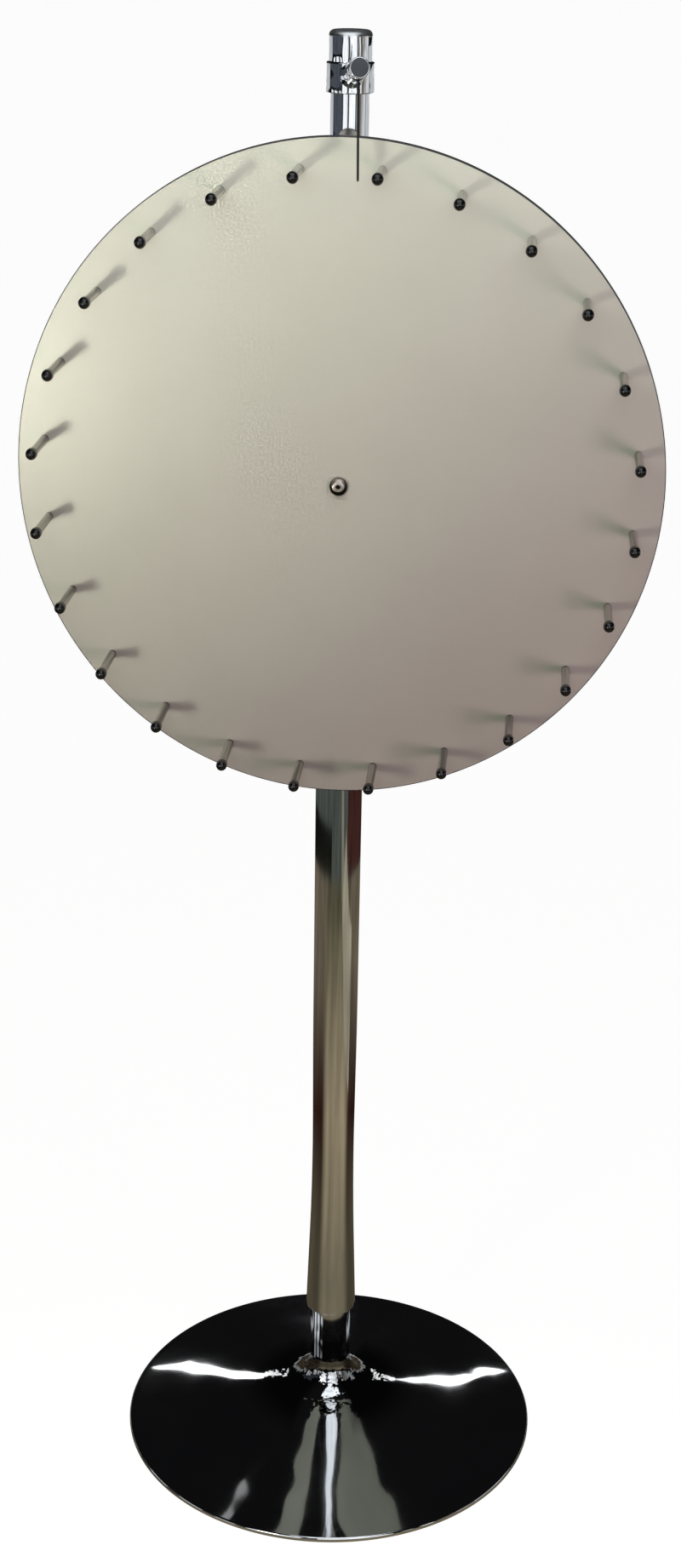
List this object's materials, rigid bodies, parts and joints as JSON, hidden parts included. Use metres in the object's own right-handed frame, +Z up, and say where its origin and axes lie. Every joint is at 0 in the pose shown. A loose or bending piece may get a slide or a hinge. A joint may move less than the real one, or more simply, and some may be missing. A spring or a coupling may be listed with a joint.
{
  "type": "carnival game wheel",
  "caption": "Floor-standing prize wheel: a plain round board with a ring of pegs spins under a sprung flapper on a height-adjustable chrome pole with a trumpet foot.",
  "frame": {"origin": "on the floor at the pole's axis", "axes": "+Z up along the pole, wheel facing -Y, +X to its right"},
  "size_m": [0.6099, 0.4798, 1.516],
  "materials": {
    "chrome": "polished plate",
    "board": "satin dry-erase laminate",
    "edge": "satin edge strip",
    "peg_metal": "drawn rod",
    "peg_end": "moulded",
    "grey_plug": "moulded",
    "flapper": "sheet",
    "steel": "zinc plated",
    "cast_alloy": "turned",
    "black_nylon": "moulded",
    "iron": "black paint",
    "rubber": "moulded"
  },
  "bodies": {
    "stand": {"base_shell": "chrome", "neck_plate": "steel", "ballast": "iron", "floor_ring": "rubber", "tie_rod": "steel", "rod_washer": "steel", "rod_nut": "steel", "lower_pole": "chrome", "pole_plug": "steel", "guide_bush": "black_nylon", "mast_clamp": "chrome", "clamp_nut": "steel", "clamp_washer": "steel"},
    "knob": {"clamp_stud": "steel", "clamp_knob": "black_nylon"},
    "mast": {"upper_pole": "chrome", "mast_slider": "black_nylon", "top_cap": "chrome", "flapper_bracket": "chrome", "collar_screw": "steel", "arm_plug": "grey_plug", "return_bush": "rubber", "front_saddle": "cast_alloy", "rear_saddle": "cast_alloy", "axle_sleeve": "steel", "axle_screw": "steel", "front_washer": "black_nylon", "axle_spacers": "steel", "inner_races": "steel", "rear_washer": "steel", "axle_nut": "steel"},
    "wheel": {"wheel_disc": "board", "edge_band": "edge", "wheel_hub": "cast_alloy", "hub_screws": "steel", "outer_races": "steel", "bearing_balls": "steel", "bearing_shields": "black_nylon", "circlip": "steel", "pegs": "peg_metal", "peg_caps": "peg_end", "peg_screws": "steel", "peg_washers": "steel"},
    "flapper": {"flapper_blade": "flapper", "flapper_spindle": "steel", "flapper_rivets": "steel"}
  },
  "joints": [
    {"name": "mast_height", "type": "slide", "parent": "stand", "child": "mast", "axis": [0, 0, 1], "range_m": [-0.15, 0.15]},
    {"name": "wheel_spin", "type": "hinge", "parent": "mast", "child": "wheel", "pos_m": [0, -0.04, 1.13], "axis": [0, -1, 0], "continuous": true},
    {"name": "flapper_swing", "type": "hinge", "parent": "mast", "child": "flapper", "pos_m": [0.01343, -0.08292, 1.4905], "axis": [0.158, -0.9755, 0.153], "range_deg": [-30, 7], "stiffness_Nm_per_rad": 0.12},
    {"name": "knob_turn", "type": "hinge", "parent": "stand", "child": "knob", "pos_m": [0.022, 0.051, 0.915], "axis": [1, 0, 0], "range_deg": [0, 360]}
  ]
}
